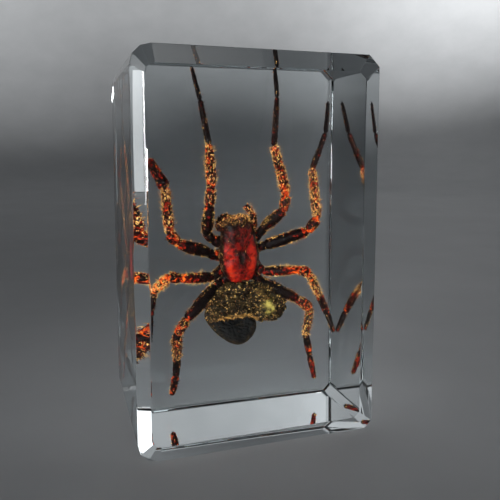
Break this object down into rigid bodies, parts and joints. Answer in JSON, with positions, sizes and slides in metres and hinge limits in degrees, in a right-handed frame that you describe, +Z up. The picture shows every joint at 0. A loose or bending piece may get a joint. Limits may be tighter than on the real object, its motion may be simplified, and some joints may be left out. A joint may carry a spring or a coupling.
{
  "type": "spider in resin block",
  "caption": "Upright clear resin block with bevelled edges, holding a dried spider with its legs spread, seen from its back through the front face.",
  "frame": {"origin": "centre of the block's bottom face", "axes": "+Z up along the block's longest side, -Y out of the front face that shows the spider's back, +X to the right seen from the front"},
  "size_m": [0.028, 0.022, 0.044],
  "materials": {
    "clear_resin": "polished, clear, colourless"
  },
  "bodies": {
    "root": {"resin_block": "clear_resin"}
  },
  "joints": []
}
